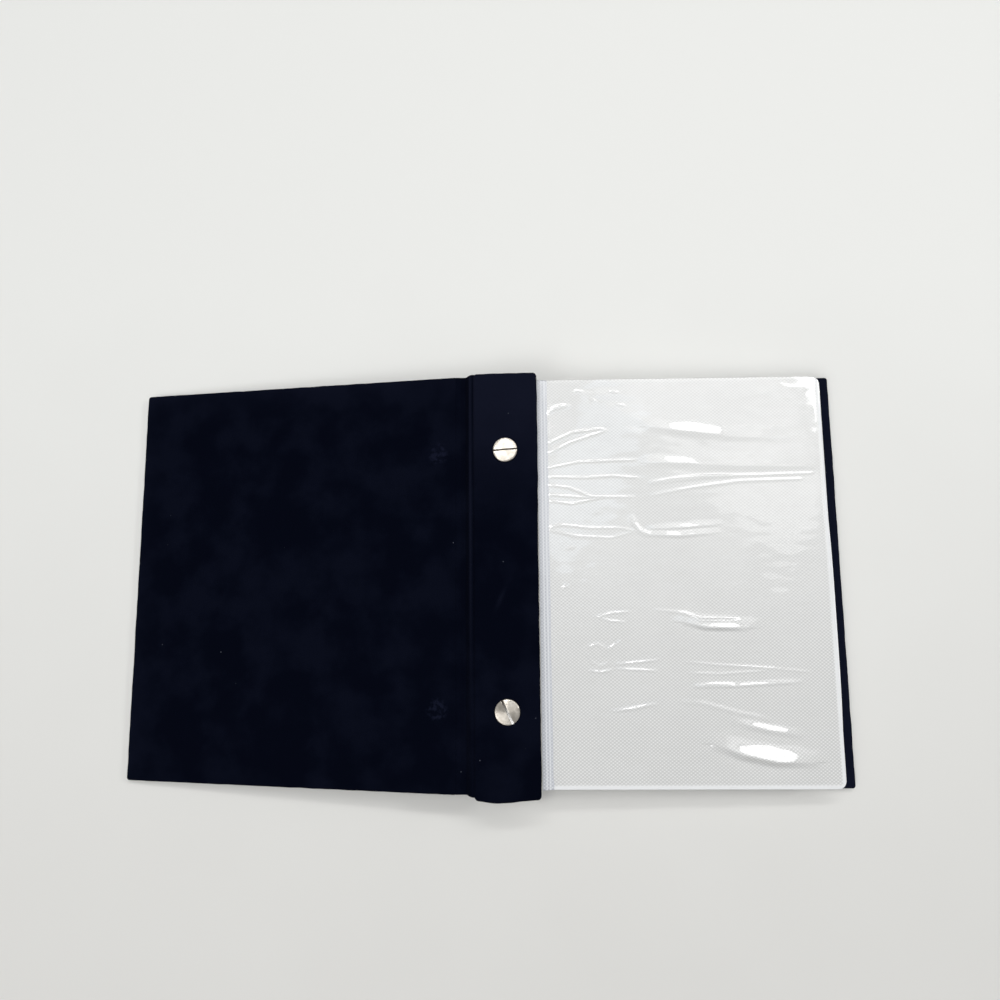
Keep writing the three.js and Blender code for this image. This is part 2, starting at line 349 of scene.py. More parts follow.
def closed_sheet(name, top, bottom):
    """A closed sheet from two grids of points of one shape, top and bottom, joined round the rim."""
    count_u, count_v = top.shape[:2]
    points = np.concatenate([top.reshape(-1, 3), bottom.reshape(-1, 3)])
    offset = count_u * count_v
    faces = grid_faces(count_u, count_v) + grid_faces(count_u, count_v, offset, flip=True)
    rim = rim_indices(count_u, count_v)
    for a, b in zip(rim, rim[1:] + rim[:1]):
        faces.append((b, a, a + offset, b + offset))
    return new_object(name, points, faces)


def graded(length, edge, step, edge_steps=6):
    """Places from 0 to length, close together within edge of both ends."""
    near = edge * (1 - np.cos(np.linspace(0, math.pi / 2, edge_steps + 1)))
    count = max(2, int(round((length - 2 * edge) / step)))
    middle = np.linspace(edge, length - edge, count + 1)[1:-1]
    return np.concatenate([near, middle, (length - near)[::-1]])


def rounded_place(x, y, half_x, half_y, radius):
    """Moves the places of a rectangle's corner squares onto rounded corners.

    It gives their distance to the outline as well.
    """
    in_x = np.abs(x) - (half_x - radius)
    in_y = np.abs(y) - (half_y - radius)
    at_corner = (in_x > 0) & (in_y > 0)
    reach = np.hypot(in_x, in_y)
    share = np.where(at_corner, np.maximum(in_x, in_y) / np.maximum(reach, 1e-9), 1.0)
    new_x = np.where(at_corner, np.sign(x) * (half_x - radius + in_x * share), x)
    new_y = np.where(at_corner, np.sign(y) * (half_y - radius + in_y * share), y)
    straight = np.minimum(half_x - np.abs(x), half_y - np.abs(y))
    distance = np.where(at_corner, radius - reach * share, straight)
    return new_x, new_y, np.maximum(distance, 0)


def edge_drop(distance, edge):
    inside = np.clip(edge - distance, 0, edge)
    return edge - np.sqrt(np.maximum(edge * edge - inside * inside, 0))


def smooth_noise(x, y, size, seed):
    """Soft noise from -1 to 1 over a field of places, with features of about size millimetres."""
    flat = [
        noise.noise(Vector((a / size, b / size, seed)))
        for a, b in zip(np.ravel(x), np.ravel(y))
    ]
    return np.array(flat).reshape(np.shape(x))


def paint(piece, name, values):
    """Keeps one number a vertex, for the material to read."""
    layer = piece.data.attributes.new(name, "FLOAT", "POINT")
    layer.data.foreach_set("value", np.asarray(values, np.float32).ravel())


def to_frame(local, origin, along, across, up):
    """Turns a grid of local places into the row frame."""
    axes = np.array([along, across, up], float)
    return local @ axes + np.array(origin, float)


# Velvet-covered boards

def ring_press(x, y, centres, radius):
    """How strongly the screw heads have pressed the pile, from 0 to 1."""
    press = np.zeros_like(x)
    for cx, cy in centres:
        away = np.hypot(x - cx, y - cy)
        press = np.maximum(press, 1 / (1 + np.exp((away - radius * PRESS_SHARE) / PRESS_SOFTNESS)))
    return press


def no_nap_sheen(x, y):
    return np.zeros_like(x)


# The whole back cover's pile is painted a little lighter
def lighter_all_over(x, y):
    return BACK_COVER_LIGHTER + np.zeros_like(x)


def straight_edge(along):
    return np.zeros_like(along)


def velvet_board(
    name, origin, along, across, up, size, corner_radius, seed,
    top_press=(), sinks=(), step=2.0, nap_sheen=no_nap_sheen, foot=straight_edge, fore=straight_edge,
):
    """A board in velvet with soft edges. origin is the middle of its lower face's low X edge.

    The sheen function gives how much lighter the pile is painted, foot how far the cloth hangs over the foot,
    and fore how far its high X edge is drawn in.
    """
    width, height, thickness = size
    xs = graded(width, corner_radius, step)
    ys = graded(height, corner_radius, step)
    for x, y in list(top_press) + list(sinks):
        fine = np.linspace(-MARK_REACH, MARK_REACH, MARK_PLACES)
        xs = np.union1d(xs, np.clip(x + fine, 0, width))
        ys = np.union1d(ys, np.clip(y + height / 2 + fine, 0, height))
    keep_x = np.concatenate([[True], np.diff(xs) > NARROWEST_STEP])
    keep_y = np.concatenate([[True], np.diff(ys) > NARROWEST_STEP])
    xs, ys = xs[keep_x], ys[keep_y]
    x, y = np.meshgrid(xs - width / 2, ys - height / 2, indexing="ij")
    x, y, distance = rounded_place(x, y, width / 2, height / 2, corner_radius)
    drop = edge_drop(distance, min(COVER_EDGE, corner_radius))
    x = x + width / 2
    ragged = RAGGED * smooth_noise(0 * y + seed, y, 4.5, seed + 9) * x / width
    ragged -= fore(y) * (x / width) ** EDGE_POWER
    foot_share = np.clip(-y / (height / 2), 0, 1) ** EDGE_POWER
    y = y - foot(x) * foot_share + RAGGED * smooth_noise(x, 0 * x, 5, seed + 3) * y / (height / 2)
    # How much lighter the pile is painted here, as painted sheen
    sheen_share = nap_sheen(x, y)
    x = x + ragged
    inner = np.clip(distance / 3, 0, 1)
    uneven = UNEVEN * (smooth_noise(x, y, 23, seed) + 0.5 * smooth_noise(x, y, 7, seed + 5)) * inner
    press = ring_press(x, y, top_press, SCREW_HEAD_RADIUS)
    sink = np.zeros_like(x)
    for cx, cy in sinks:
        away = np.hypot(x - cx, y - cy) - SCREW_HEAD_RADIUS
        sink = np.maximum(sink, np.exp(-np.clip(away, 0, None) / SCREW_SINK_REACH))
    lift = PILE_LIFT + (SCREW_SINK * (1 - sink) if len(sinks) else 0)
    top = np.dstack([x, y, thickness - drop + lift + uneven - PRESS_DEPTH * press])
    bottom = np.dstack([x, y, drop + 0 * x])
    piece = closed_sheet(
        name,
        to_frame(top, origin, along, across, up),
        to_frame(bottom, origin, along, across, up),
    )
    paint(piece, "pressed", np.concatenate([press.ravel(), 0 * press.ravel()]))
    paint(piece, "nap_sheen", np.concatenate([sheen_share.ravel(), 0 * sheen_share.ravel()]))
    return piece


def ribbon(name, profile, half_y, thickness, seed, ripple=0.0, ridge=None):
    """A strip of cloth or film along the spine that follows a profile of X and Z.

    ridge is the X of a painted highlight along the cloth.
    """
    points = np.array(profile, float)
    steps = np.r_[0, np.cumsum(np.hypot(*np.diff(points, axis=0).T))]
    at = np.linspace(0, steps[-1], 30)
    smooth = [smooth_through(steps, points[:, k], at) for k in (0, 1)]
    way = np.gradient(np.array(smooth), axis=1)
    way /= np.hypot(*way)
    ys = graded(2 * half_y, 0.8, 2.0) - half_y
    drop = edge_drop(half_y - np.abs(ys), 0.4)
    wave = ripple * np.array([[noise.noise(Vector((s / 3, y / 14, seed))) for y in ys] for s in at])
    half = thickness / 2 - drop[None, :] * 0.8
    normal = np.array([-way[1], way[0]])
    middle_x = smooth[0][:, None] + normal[0][:, None] * wave
    middle_z = smooth[1][:, None] + normal[1][:, None] * wave
    y = np.broadcast_to(ys[None, :], middle_x.shape)
    sides = []
    for side in (1, -1):
        sides.append(
            np.dstack([
                middle_x + side * normal[0][:, None] * half,
                y,
                middle_z + side * normal[1][:, None] * half,
            ])
        )
    piece = closed_sheet(name, sides[0], sides[1])
    turn_outwards(piece)
    paint(piece, "pressed", np.zeros(len(piece.data.vertices)))
    lines = np.zeros_like(middle_x)
    for x in TAB_LINES:
        lines = np.maximum(lines, np.exp(-(((middle_x - x) / TAB_LINE_WIDTH) ** 2)))
    paint(piece, "weld", LINE_STRENGTH * np.concatenate([lines.ravel(), lines.ravel()]))
    # A painted highlight along the ridge, kept with the pile's painted sheen
    if ridge is not None:
        line = np.exp(-(((middle_x - ridge) / 0.45) ** 2)) * np.clip(0.75 + y / half_y, 0, 1)
        paint(piece, "nap_sheen", np.concatenate([line.ravel(), line.ravel()]))
    return piece


def smooth_through(steps, values, at):
    """A Catmull-Rom curve through values at the given steps."""
    slopes = np.gradient(values, steps)
    cell = np.clip(np.searchsorted(steps, at) - 1, 0, len(steps) - 2)
    width = steps[cell + 1] - steps[cell]
    t = (at - steps[cell]) / width
    return (
        (2 * t**3 - 3 * t**2 + 1) * values[cell]
        + (t**3 - 2 * t**2 + t) * width * slopes[cell]
        + (-2 * t**3 + 3 * t**2) * values[cell + 1]
        + (t**3 - t**2) * width * slopes[cell + 1]
    )


def turn_outwards(piece):
    work = bmesh.new()
    work.from_mesh(piece.data)
    bmesh.ops.recalc_face_normals(work, faces=work.faces)
    work.to_mesh(piece.data)
    work.free()


# Materials

def node_material(name):
    material = bpy.data.materials.new(name)
    material.use_nodes = True
    nodes = material.node_tree.nodes
    return material, nodes, material.node_tree.links, nodes["Principled BSDF"]


def place_mm(nodes, links):
    """The point on the object in millimetres, which rides with the piece."""
    where = nodes.new("ShaderNodeTexCoord")
    scale = nodes.new("ShaderNodeVectorMath")
    scale.operation = "SCALE"
    scale.inputs["Scale"].default_value = 1 / MM
    links.new(where.outputs["Object"], scale.inputs[0])
    return scale.outputs[0]


def noise_of(nodes, links, place, size, detail=2.0, roughness=0.5):
    texture = nodes.new("ShaderNodeTexNoise")
    texture.inputs["Scale"].default_value = 1 / size
    texture.inputs["Detail"].default_value = detail
    texture.inputs["Roughness"].default_value = roughness
    links.new(place, texture.inputs["Vector"])
    return texture.outputs["Fac"]


def ramp(nodes, links, value, low, high):
    """0 below low, 1 above high, smooth between."""
    mapped = nodes.new("ShaderNodeMapRange")
    mapped.interpolation_type = "SMOOTHSTEP"
    mapped.inputs["From Min"].default_value = low
    mapped.inputs["From Max"].default_value = high
    links.new(value, mapped.inputs["Value"])
    return mapped.outputs["Result"]


def mix_colour(nodes, links, share, first, second):
    mix = nodes.new("ShaderNodeMix")
    mix.data_type = "RGBA"
    links.new(share, mix.inputs["Factor"])
    for socket, colour in ((mix.inputs["A"], first), (mix.inputs["B"], second)):
        if isinstance(colour, tuple):
            socket.default_value = (*colour, 1)
        else:
            links.new(colour, socket)
    return mix.outputs["Result"]


def combine(nodes, links, operation, first, second):
    math_node = nodes.new("ShaderNodeMath")
    math_node.operation = operation
    for socket, value in zip(math_node.inputs, (first, second)):
        if isinstance(value, (int, float)):
            socket.default_value = value
        else:
            links.new(value, socket)
    return math_node.outputs[0]


def bump(nodes, links, shader, height, strength, distance):
    node = nodes.new("ShaderNodeBump")
    node.inputs["Strength"].default_value = strength
    node.inputs["Distance"].default_value = distance * MM
    links.new(height, node.inputs["Height"])
    links.new(node.outputs["Normal"], shader.inputs["Normal"])


def painted(nodes, name):
    """The number that paint keeps at each vertex."""
    node = nodes.new("ShaderNodeAttribute")
    node.attribute_name = name
    return node.outputs["Fac"]


def set_sockets(node, values):
    for name, value in values.items():
        node.inputs[name].default_value = value


def velvet_material():
    material, nodes, links, shader = node_material("velvet")
    place = place_mm(nodes, links)
    patches = ramp(nodes, links, noise_of(nodes, links, place, size=16, detail=3), low=0.38, high=0.68)
    nap_sheen = noise_of(nodes, links, place, size=0.35, detail=3, roughness=0.7)
    tone = mix_colour(nodes, links, patches, VELVET, VELVET_LIGHT)
    pressed = painted(nodes, "pressed")
    streak = ramp(nodes, links, noise_of(nodes, links, place, size=1.6, detail=3), low=0.42, high=0.62)
    mark = combine(nodes, links, "MULTIPLY", pressed, streak)
    # Painted sheen on the pile, and a painted highlight along the hinge ridge
    tone = mix_colour(nodes, links, painted(nodes, "nap_sheen"), tone, VELVET_SHEEN)
    tone = mix_colour(nodes, links, mark, tone, VELVET_PRESSED)
    lint = nodes.new("ShaderNodeTexVoronoi")
    lint.inputs["Scale"].default_value = 1 / 11
    links.new(place, lint.inputs["Vector"])
    speck = ramp(nodes, links, lint.outputs["Distance"], low=0.028, high=0.014)
    tone = mix_colour(nodes, links, speck, tone, LINT)
    links.new(tone, shader.inputs["Base Color"])
    set_sockets(shader, {
        "Roughness": 0.92,
        "Specular IOR Level": 0.0,
        "Sheen Weight": 0.012,
        "Sheen Roughness": 0.45,
        "Sheen Tint": (0.45, 0.5, 0.8, 1),
    })
    bump(nodes, links, shader, nap_sheen, strength=0.6, distance=0.25)
    return material


def dots(nodes, links, place):
    """Staggered round dots, from 0 between them to 1 on them."""
    split = nodes.new("ShaderNodeSeparateXYZ")
    links.new(place, split.inputs[0])
    waves = []
    for axis, pitch in ((0, DOT_PITCH_X), (1, DOT_PITCH_Y)):
        turned = combine(nodes, links, "MULTIPLY", split.outputs[axis], 2 * math.pi / pitch)
        waves.append(combine(nodes, links, "COSINE", turned, 0.0))
    product = combine(nodes, links, "MULTIPLY", waves[0], waves[1])
    return combine(nodes, links, "MULTIPLY_ADD", product, 0.5)


def film_material(name, alpha, emboss, light=FILM_LIGHT, dark=FILM_DARK, gloss=1.0, roughness=0.14):
    """Glossy film with embossed dots. emboss is how deep they are, and light and dark are its two colours."""
    material, nodes, links, shader = node_material(name)
    place = place_mm(nodes, links)
    pattern = dots(nodes, links, place)
    cloudy = ramp(nodes, links, noise_of(nodes, links, place, size=22, detail=2), low=0.3, high=0.7)
    split = nodes.new("ShaderNodeSeparateXYZ")
    links.new(place, split.inputs[0])
    lower = ramp(nodes, links, split.outputs[1], *DOTS_FADE)
    strength = combine(nodes, links, "MULTIPLY_ADD", lower, DOTS_LOWER)
    strength.node.inputs[2].default_value = DOTS_EVERYWHERE
    softened = combine(nodes, links, "MULTIPLY_ADD", cloudy, DOTS_CLOUDY)
    strength = combine(nodes, links, "ADD", strength, softened)
    shown = combine(nodes, links, "MULTIPLY", pattern, strength)
    weld = painted(nodes, "weld")
    clear = combine(nodes, links, "SUBTRACT", 1.0, weld)
    shown = combine(nodes, links, "MULTIPLY", shown, clear)
    tone = mix_colour(nodes, links, shown, light, dark)
    tone = mix_colour(nodes, links, weld, tone, FILM_WELD)
    links.new(tone, shader.inputs["Base Color"])
    set_sockets(shader, {
        "Roughness": roughness,
        "IOR": 1.46,
        "Alpha": alpha,
        "Coat Weight": gloss,
        "Coat Roughness": 0.04,
        "Coat IOR": 1.8,
    })
    height = combine(nodes, links, "MULTIPLY", shown, emboss)
    bump(nodes, links, shader, height, strength=0.5, distance=0.08)
    return material


def plain_material(name, colour, roughness, grain, depth, darker=0.85):
    """Paper or board. grain and depth are the size and height of its grain, and darker shades its hollows."""
    material, nodes, links, shader = node_material(name)
    place = place_mm(nodes, links)
    grainy = noise_of(nodes, links, place, grain, detail=4, roughness=0.6)
    dark = tuple(c * darker for c in colour)
    tone = mix_colour(nodes, links, ramp(nodes, links, grainy, low=0.3, high=0.7), dark, colour)
    links.new(tone, shader.inputs["Base Color"])
    shader.inputs["Roughness"].default_value = roughness
    bump(nodes, links, shader, grainy, strength=0.4, distance=depth)
    return material


def nickel_material():
    material, nodes, links, shader = node_material("nickel")
    place = place_mm(nodes, links)
    worn = ramp(nodes, links, noise_of(nodes, links, place, size=2.5, detail=4), low=0.35, high=0.7)
    tone = mix_colour(nodes, links, worn, NICKEL, NICKEL_WORN)
    # Painted highlight and painted shade in the screw slots
    tone = mix_colour(nodes, links, painted(nodes, "slot_highlight"), tone, NICKEL_SLOT_HIGHLIGHT)
    tone = mix_colour(nodes, links, painted(nodes, "slot_shade"), tone, NICKEL_SLOT_SHADE)
    links.new(tone, shader.inputs["Base Color"])
    set_sockets(shader, {
        "Metallic": 1.0,
        "Roughness": 0.28,
        "Anisotropic": 0.95,
        "Anisotropic Rotation": 0.25,
    })
    tangent = nodes.new("ShaderNodeTangent")
    tangent.direction_type = "RADIAL"
    tangent.axis = "Z"
    links.new(tangent.outputs[0], shader.inputs["Tangent"])
    scratches = noise_of(nodes, links, place, size=0.4, detail=3)
    bump(nodes, links, shader, scratches, strength=0.15, distance=0.02)
    return material


velvet = velvet_material()
top_film = film_material("top_film", alpha=0.72, emboss=1.0)
under_film = film_material("under_film", alpha=1.0, emboss=0.6)
tab_film = film_material("tab_film", 1.0, 1.0, TAB_LIGHT, TAB_DARK, gloss=0.1, roughness=0.45)
paper = plain_material("paper", PAPER, roughness=0.8, grain=3.0, depth=0.03, darker=0.96)
card = plain_material("card", CARD, roughness=0.85, grain=0.8, depth=0.1)
greyboard = plain_material("greyboard", GREYBOARD, roughness=0.9, grain=0.7, depth=0.1)
nickel = nickel_material()


def coat(piece, material):
    piece.data.materials.clear()
    piece.data.materials.append(material)


def dress(piece, material, body, replaced=()):
    """Gives a piece its material and the body that it rides on, and hides the CAD nodes it stands for."""
    coat(piece, material)
    if body:
        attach(piece, body)
    if replaced:
        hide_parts(*replaced)
    return piece


# Covers and strips

X_AXIS, Y_AXIS, Z_AXIS = (1, 0, 0), (0, 1, 0), (0, 0, 1)


def screw_places():
    places = []
    for node in ("upper_screw", "lower_screw"):
        low, high = box(node)
        places.append(((low.x + high.x) / 2, (low.y + high.y) / 2, high.z))
    return places


def add_back_cover():
    low, high = box("back_cover_velvet")
    size = tuple(high - low)
    origin = (low.x, 0, low.z)
    piece = velvet_board(
        "back_cover_cloth", origin, X_AXIS, Y_AXIS, Z_AXIS, size, COVER_CORNER, seed=3.0, nap_sheen=lighter_all_over,
    )
    dress(piece, velvet, "back_cover", ("back_cover_velvet", "back_cover_lining"))


def front_cover_axes():
    """The open front cover's slope, from its board's box and the like board of the back cover."""
    flat_low, flat_high = box("back_cover_board")
    low, high = box("front_cover_board")
    width, thickness = flat_high.x - flat_low.x, flat_high.z - flat_low.z
    slope = math.asin((high.z - low.z) / math.hypot(width, thickness)) - math.atan(thickness / width)
    # The cover runs towards low X, and its inner face looks up
    return (-math.cos(slope), 0, -math.sin(slope)), (-math.sin(slope), 0, math.cos(slope))


def add_front_cover():
    along, up = front_cover_axes()
    back_low, back_high = box("back_cover_velvet")
    size = tuple(back_high - back_low)
    low, high = box("front_cover_velvet")
    middle = Vector(((low.x + high.x) / 2, 0, (low.z + high.z) / 2))
    origin = middle - Vector(along) * size[0] / 2 - Vector(up) * size[2] / 2
    marks = []
    for x, y, _ in screw_places():
        marks.append((x - back_low.x, -y))
    piece = velvet_board(
        "front_cover_cloth", origin, along, (0, -1, 0), up, size, COVER_CORNER, seed=11.0,
        top_press=marks, nap_sheen=cover_edge_sheen(size),
    )
    dress(piece, velvet, "front_cover", ("front_cover_velvet", "front_cover_lining"))
    return origin, up, size


def cover_edge_sheen(size):
    """Painted sheen: the pile is painted lighter along the head and the fore edge."""
    width, height, _ = size

    def nap_sheen(x, y):
        head = np.exp(-np.clip(height / 2 + y, 0, None) / COVER_HEAD_REACH)
        edge = np.exp(-np.clip(width - x, 0, None) / COVER_EDGE_REACH)
        return COVER_HEAD_SHEEN * head + COVER_EDGE_SHEEN * edge

    return nap_sheen


def strip_nap_sheen(x, y):
    """Painted sheen: the pile is painted lighter towards the head, and along one short stroke of a finger, a
    real mark whose lightness is painted sheen.
    """
    way_y, way_x = STROKE_WAY
    along = (y - STROKE_Y) * way_y + (x - STROKE_X) * way_x
    across = (x - STROKE_X) * way_y - (y - STROKE_Y) * way_x
    stroke = STROKE_SHEEN * np.exp(-((along / STROKE_LENGTH) ** 2) - (across / STROKE_WIDTH) ** 2)
    return stroke + HEAD_SHEEN * np.clip((y - HEAD_SHEEN_STARTS) / HEAD_SHEEN_RUN, 0, 1) ** 1.2


def strip_foot(x):
    """How far the strip's cloth hangs over its foot."""
    return FOOT_LEVEL + FOOT_OVERHANG * np.exp(-(((x - FOOT_MIDDLE) / FOOT_SPREAD) ** 2))


def strip_fore(y):
    """How far the strip's fore edge is drawn in, towards its foot."""
    share = np.clip((FORE_STARTS - y) / FORE_RUN, 0, 1)
    return FORE_DRAWN_IN * share * share * (3 - 2 * share)


def add_strips():
    """The front strip is on view. The back one is hidden, so it has no overhang and no screws sunk in it."""
    for side, seed in (("front", 21.0), ("back", 31.0)):
        low, high = box(f"{side}_strip_velvet")
        size = tuple(high - low)
        on_view = side == "front"
        sinks = [(x - low.x, y) for x, y, _ in screw_places()] if on_view else []
        piece = velvet_board(
            f"{side}_strip_cloth", (low.x, 0, low.z), X_AXIS, Y_AXIS, Z_AXIS, size, STRIP_CORNER, seed,
            sinks=sinks, step=1.2, nap_sheen=strip_nap_sheen,
            foot=strip_foot if on_view else straight_edge,
            fore=strip_fore if on_view else straight_edge,
        )
        dress(piece, velvet, "page_block", (f"{side}_strip_velvet", f"{side}_strip_lining"))


def add_front_hinge(origin, up, size):
    """The cloth from the strip down to the open cover, with a painted highlight along the ridge where it
    leaves the strip.
    """
    low, high = box("front_hinge_cloth")
    strip_low, strip_high = box("front_strip_velvet")
    board = Vector(origin) + Vector(up) * size[2]
    profile = [
        (strip_low.x + 0.5, strip_high.z - 0.9),
        (strip_low.x - 0.5, strip_high.z - 0.95),
        (strip_low.x - 1.5, strip_high.z - 1.9),
        (strip_low.x - 3.4, board.z - 0.9),
        (strip_low.x - 5.4, board.z - 0.85),
        (board.x - 0.4, board.z - 0.62),
    ]
    half_y = (high.y - low.y) / 2
    ridge = strip_low.x - 1.0
    piece = ribbon("front_hinge_velvet", profile, half_y, CLOTH_HINGE, 41.0, ripple=0.14, ridge=ridge)
    dress(piece, velvet, None, ("front_hinge_cloth",))
    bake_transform(piece)


def add_back_hinge():
    """The cloth from the back cover's edge, round the spine and in to the back strip."""
    low, high = box("back_hinge_cloth")
    board_low, board_high = box("back_cover_velvet")
    strip_low, strip_high = box("back_strip_velvet")
    middle = (board_low.z + board_high.z) / 2
    strip_middle = (strip_low.z + strip_high.z) / 2
    profile = [
        (board_low.x + 0.3, middle),
        (board_low.x - 3, middle - 0.1),
        (low.x + 0.9, (middle + strip_middle) / 2 - 1.2),
        (low.x + 0.5, (middle + strip_middle) / 2 + 0.4),
        (low.x + 1.6, strip_middle - 0.2),
        (strip_low.x + 0.3, strip_middle),
    ]
    piece = ribbon("back_hinge_velvet", profile, (high.y - low.y) / 2, CLOTH_HINGE, 47.0, ripple=0.1)
    dress(piece, velvet, None, ("back_hinge_cloth",))
    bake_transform(piece)


# Screws

def add_screw(node, slot_angle, slot_half, shaded_to):
    """A slotted screw with a turned, slightly domed head and softened edges.

    The slot is painted in shade along its length up to a share of the head's radius, the last argument. 1 or
    more is the whole slot.
    A little past that share the slot gets a painted highlight.
    """
    low, high = box(node)
    middle_x, middle_y = (low.x + high.x) / 2, (low.y + high.y) / 2
    radius = (high.x - low.x) / 2
    seat = high.z - SCREW_HEAD_HEIGHT
    shank = SCREW_SHANK_RADIUS
    profile = [(0, low.z), (SCREW_TIP_RADIUS, low.z), (shank, low.z + 0.4), (shank, seat)]
    profile += [(radius - 0.25, seat + 0.01), (radius - 0.06, seat + 0.1), (radius, seat + 0.28)]
    profile += [(radius, high.z - 0.5), (radius - 0.06, high.z - 0.36), (radius - 0.22, high.z - 0.25)]
    for i in range(1, SCREW_PROFILE_STEPS):
        share = i / SCREW_PROFILE_STEPS
        dip = SCREW_DOME * (1 - share) ** SCREW_DOME_POWER
        profile.append(((radius - 0.22) * (1 - share), high.z - dip))
    profile.append((0, high.z))
    around = SCREW_AROUND
    points, faces = [(middle_x, middle_y, profile[0][1])], []
    for r, z in profile[1:-1]:
        for k in range(around):
            turn = 2 * math.pi * k / around
            points.append((middle_x + r * math.cos(turn), middle_y + r * math.sin(turn), z))
    points.append((middle_x, middle_y, profile[-1][1]))
    last = len(points) - 1
    rings = len(profile) - 2
    for k in range(around):
        following = (k + 1) % around
        faces.append((0, 1 + following, 1 + k))
        for ring in range(rings - 1):
            a = 1 + ring * around
            faces.append((a + k, a + following, a + around + following, a + around + k))
        top = 1 + (rings - 1) * around
        faces.append((top + k, top + following, last))
    piece = new_object(f"{node}_turned", points, faces)
    cutter = slot_cutter(middle_x, middle_y, high.z, radius, slot_angle, slot_half)
    cut = piece.modifiers.new("slot", "BOOLEAN")
    cut.operation = "DIFFERENCE"
    cut.solver = "EXACT"
    cut.object = cutter
    soften = piece.modifiers.new("soften", "BEVEL")
    soften.width = 0.07 * MM
    soften.segments = 3
    soften.limit_method = "ANGLE"
    soften.angle_limit = math.radians(50)
    apply_modifiers(piece)
    bpy.data.objects.remove(cutter)
    piece.data.shade_smooth()
    turn = math.radians(slot_angle)
    # The slot is painted in shade along one part and gets a painted highlight a little past it
    shaded, slot_highlight = [], []
    for vertex in piece.data.vertices:
        x, y = vertex.co.x / MM - middle_x, vertex.co.y / MM - middle_y
        along = (x * math.cos(turn) + y * math.sin(turn)) / radius
        across = abs(y * math.cos(turn) - x * math.sin(turn))
        low_down = vertex.co.z / MM < high.z - 0.3 and vertex.co.z / MM > seat + 0.3
        in_slot = low_down and across < slot_half + 0.1
        shaded.append(float(in_slot and along < shaded_to))
        slot_highlight.append(float(in_slot and along > shaded_to + 0.3))
    paint(piece, "slot_shade", shaded)
    paint(piece, "slot_highlight", slot_highlight)
    dress(piece, nickel, node, (node,))


def slot_cutter(x, y, top, radius, angle, half_width):
    cutter = new_object("cutter", *cuboid(2 * radius, half_width, SLOT_DEPTH), smooth=False)
    cutter.rotation_euler = (0, 0, math.radians(angle))
    cutter.location = (x * MM, y * MM, top * MM)
    return cutter


def cuboid(a, b, c):
    """The points and faces of a box round the origin, from its three half sizes."""
    points = [(i * a, j * b, k * c) for i in (-1, 1) for j in (-1, 1) for k in (-1, 1)]
    faces = [(0, 1, 3, 2), (4, 6, 7, 5), (0, 4, 5, 1), (2, 3, 7, 6), (0, 2, 6, 4), (1, 5, 7, 3)]
    return points, faces


def apply_modifiers(piece):
    bpy.context.view_layer.update()
    graph = bpy.context.evaluated_depsgraph_get()
    made = bpy.data.meshes.new_from_object(piece.evaluated_get(graph))
    piece.modifiers.clear()
    piece.data = made


# Leaves

def pocket_axes(number):
    """A leaf's pocket: its upper inner edge, its direction to the fore edge, its normal and its size."""
    film = f"leaf_{number:02d}_front_film"
    inner = corner(film, (-1, 9))
    outer = corner(film, (9, 1))
    along = (outer - inner).normalized()
    normal = Vector((-along.z, 0, along.x))
    low, high = box(film)
    return inner, along, normal, (outer - inner).length, (high.y - low.y) / 2


def rounded_ridge(off):
    return np.exp(-(off**2))


def even_slope(off):
    """One even slope from the crest down, which runs out softly at its foot."""
    return np.logaddexp(0, SLOPE_SHARPNESS * (1 - off)) / SLOPE_SHARPNESS


def ridge_height(u, v, places, top, above, below, profile, fade):
    """A ridge along a line of places, with a half width on each side, that fades out at its ends."""
    lengths = np.hypot(*np.diff(places, axis=0).T)
    done = 0.0
    ridge = np.zeros_like(u)
    for (a, b), length in zip(zip(places[:-1], places[1:]), lengths):
        way = (b - a) / length
        t = np.clip((u - a[0]) * way[0] + (v - a[1]) * way[1], 0, length)
        off_u, off_v = u - a[0] - t * way[0], v - a[1] - t * way[1]
        half_width = np.where(off_v > 0, above, below)
        share = (done + t) / lengths.sum()
        taper = 0.35 + 0.65 * np.sin(math.pi * np.clip(share, 0.02, 0.98)) ** fade
        ridge = np.maximum(ridge, top * taper * profile(np.hypot(off_u, off_v) / half_width))
        done += length
    return ridge


def crease_height(u, v, locate):
    """The height that the creases, folds and swellings add to the top film."""
    fine = np.zeros_like(u)
    broad = np.zeros_like(u)
    for pixels, top, half_width in CREASES.values():
        places = np.array([locate(p) for p in pixels])
        ridge = ridge_height(u, v, places, top, half_width, half_width, rounded_ridge, fade=0.5)
        fine = np.maximum(fine, ridge)
    for pixels, top, above, below in FOLDS.values():
        places = np.array([locate(p) for p in pixels])
        ridge = ridge_height(u, v, places, top, above, below, even_slope, fade=1.0)
        broad = np.maximum(broad, ridge)
    height = fine + broad
    for pixel, half_u, half_v, top in SWELLINGS.values():
        cu, cv = locate(pixel)
        swelling = top * np.exp(-(((u - cu) / half_u) ** 2) - ((v - cv) / half_v) ** 2)
        height += swelling * np.clip(u / CALM_REACH, 0, 1)
    return height


def page_places(half_y, width, step_u, step_v):
    """A page's grid of places, with rounded outer corners, and their distances to its fore edge and foot."""
    us = graded(width, LEAF_CORNER, step_u, edge_steps=9)
    vs = graded(2 * half_y, LEAF_CORNER, step_v, edge_steps=9) - half_y
    u, v = np.meshgrid(us, vs, indexing="ij")
    shifted, v, _ = rounded_place(u - width / 2, v, width / 2, half_y, LEAF_CORNER)
    u = np.where(u > width / 2, shifted + width / 2, u)
    v = np.where(u > width / 2, v, np.broadcast_to(vs[None, :], v.shape))
    right = width - u
    return u, v, right, v + half_y


def weld_of(right, bottom, left):
    """How near a place is to the pocket's weld on its fore edge, its foot and its fold: 1 on it, 0 inside.

    It gives the distance to the nearest of the three as well.
    """
    nearest = np.minimum(np.minimum(right, bottom), left)
    return 1 / (1 + np.exp((nearest - WELD_IN * 0.85) / 0.12)), nearest


